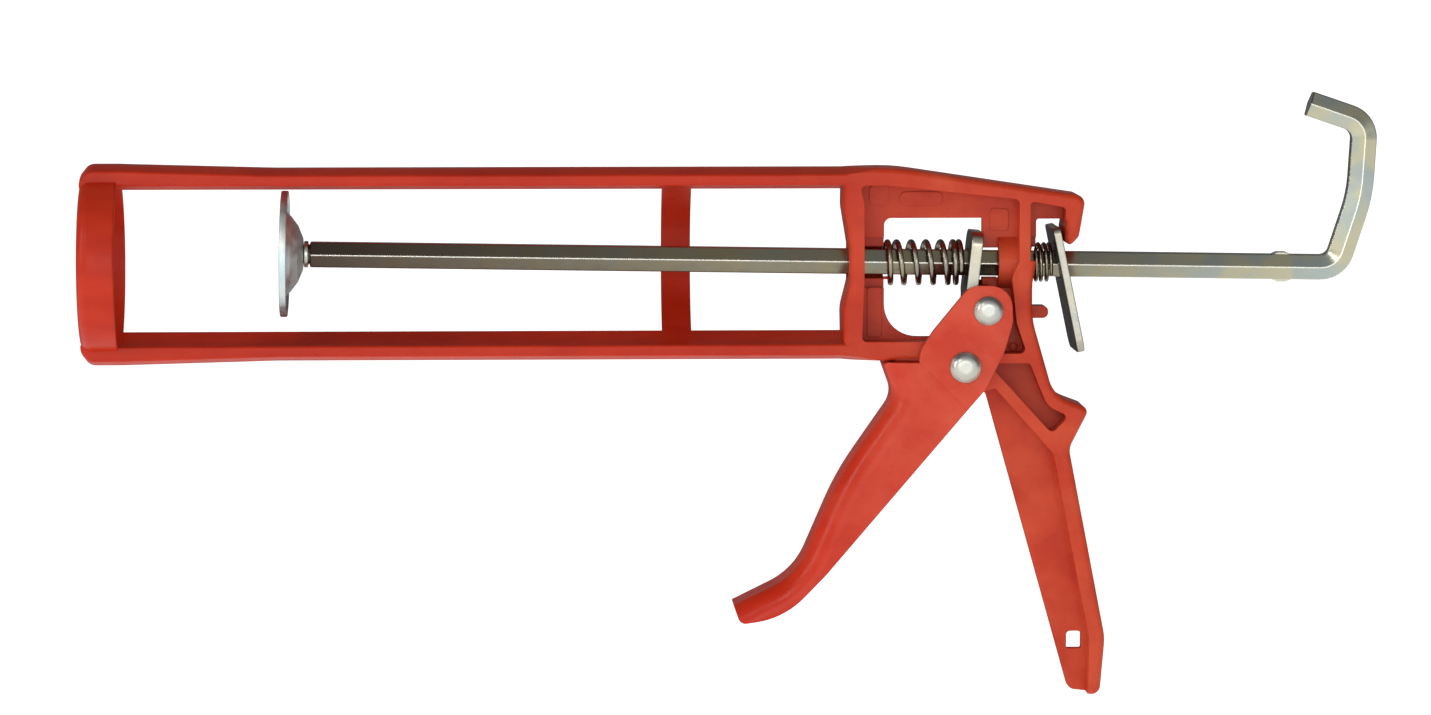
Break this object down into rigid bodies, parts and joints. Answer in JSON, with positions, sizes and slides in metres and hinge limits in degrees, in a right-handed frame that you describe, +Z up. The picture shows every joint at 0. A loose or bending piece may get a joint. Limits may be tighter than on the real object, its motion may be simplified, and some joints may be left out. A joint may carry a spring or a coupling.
{
  "type": "caulking gun",
  "caption": "Skeleton caulking gun: moulded frame with front ring, side-loading cradle and handle, hexagonal push rod with hook, trigger, drive and release plates.",
  "frame": {"origin": "centre of the bulkhead face that the cartridge's rear rim seats on, on the axis shared by the barrel and the push rod", "axes": "+X along the barrel towards the rear (the rod's hook), +Z up, the user's left-hand side is -Y"},
  "size_m": [0.3875, 0.056, 0.1806],
  "materials": {
    "frame_plastic": "moulded red plastic, glossy",
    "trigger_plastic": "moulded red plastic, glossy",
    "plated_rod": "zinc plated, drawn hexagonal steel",
    "plated_sheet": "zinc plated pressed steel",
    "spring_wire": "zinc plated spring wire",
    "rivet_steel": "bright plated rivets and washers"
  },
  "bodies": {
    "frame_body": {"frame": "frame_plastic", "pivot_rivet": "rivet_steel", "pivot_rivet_washer": "rivet_steel", "drive_spring": "spring_wire", "release_spring": "spring_wire"},
    "trigger_body": {"trigger": "trigger_plastic", "drive_pin": "rivet_steel", "drive_pin_washer": "rivet_steel", "drive_pin_sleeve": "rivet_steel"},
    "drive_plate_body": {"drive_plate": "plated_sheet"},
    "rod_body": {"push_rod": "plated_rod", "piston_disc": "plated_sheet", "disc_nut": "rivet_steel", "disc_collar": "rivet_steel"},
    "release_plate_body": {"release_plate": "plated_sheet"}
  },
  "joints": [
    {"name": "trigger_pivot", "type": "hinge", "parent": "frame_body", "child": "trigger_body", "pos_m": [0.03628, 0, -0.0305], "axis": [0, -1, 0], "range_deg": [0, 32], "stiffness_Nm_per_rad": 0.25, "springref_deg": -11.46},
    {"name": "drive_plate_slide", "type": "slide", "parent": "frame_body", "child": "drive_plate_body", "axis": [-1, 0, 0], "range_m": [0, 0.0104], "deforming": ["drive_spring"]},
    {"name": "rod_slide", "type": "slide", "parent": "frame_body", "child": "rod_body", "axis": [-0.9999, 0, 0.0152], "range_m": [-0.162, 0.055]},
    {"name": "release_pivot", "type": "hinge", "parent": "frame_body", "child": "release_plate_body", "pos_m": [0.0653, 0, 0.0075], "axis": [0, 1, 0], "range_deg": [0, 12], "stiffness_Nm_per_rad": 0.03, "springref_deg": -17.19, "deforming": ["release_spring"]}
  ],
  "couplings": [
    {"joint": "drive_plate_slide", "follows": "trigger_pivot", "m_per_rad": 0.0182}
  ]
}
